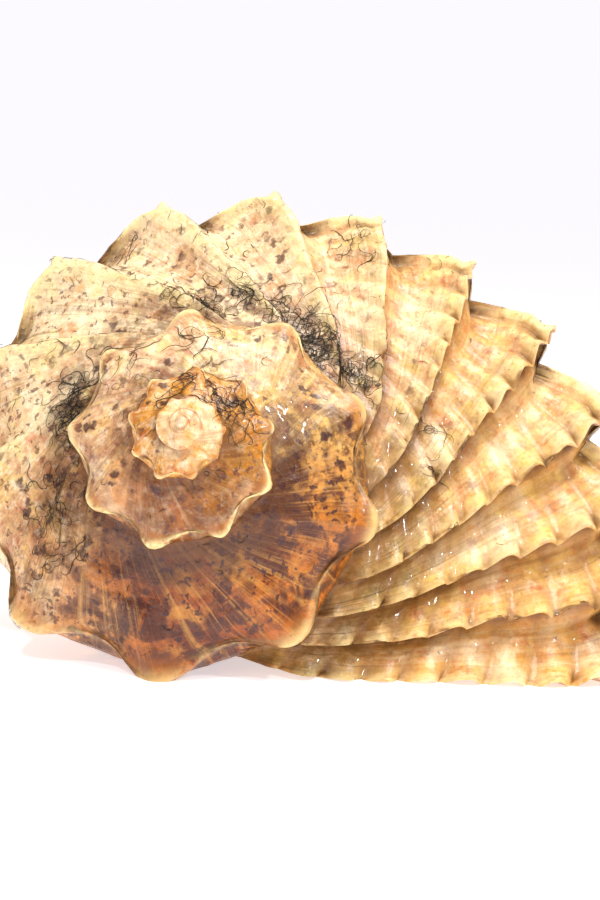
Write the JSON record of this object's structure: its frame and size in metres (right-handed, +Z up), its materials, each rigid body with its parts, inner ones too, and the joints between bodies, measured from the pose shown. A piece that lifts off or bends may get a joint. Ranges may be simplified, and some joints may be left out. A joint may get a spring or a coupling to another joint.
{
  "type": "conch shell",
  "caption": "Thick coiled sea snail shell with knobbed whorls, frilled growth ridges, a flared outer lip, an open living chamber and a short canal, lying on its aperture.",
  "frame": {"origin": "on the surface the shell rests on, under the middle of its bounding box", "axes": "+X towards the flared outer lip, -Y towards the apex, +Y towards the siphonal canal, +Z up, away from the aperture"},
  "size_m": [0.0948, 0.0804, 0.0618],
  "materials": {
    "shell": "semi-gloss limy shell, cream to tan with brown flecks"
  },
  "bodies": {
    "root": {"shell": "shell"}
  },
  "joints": []
}
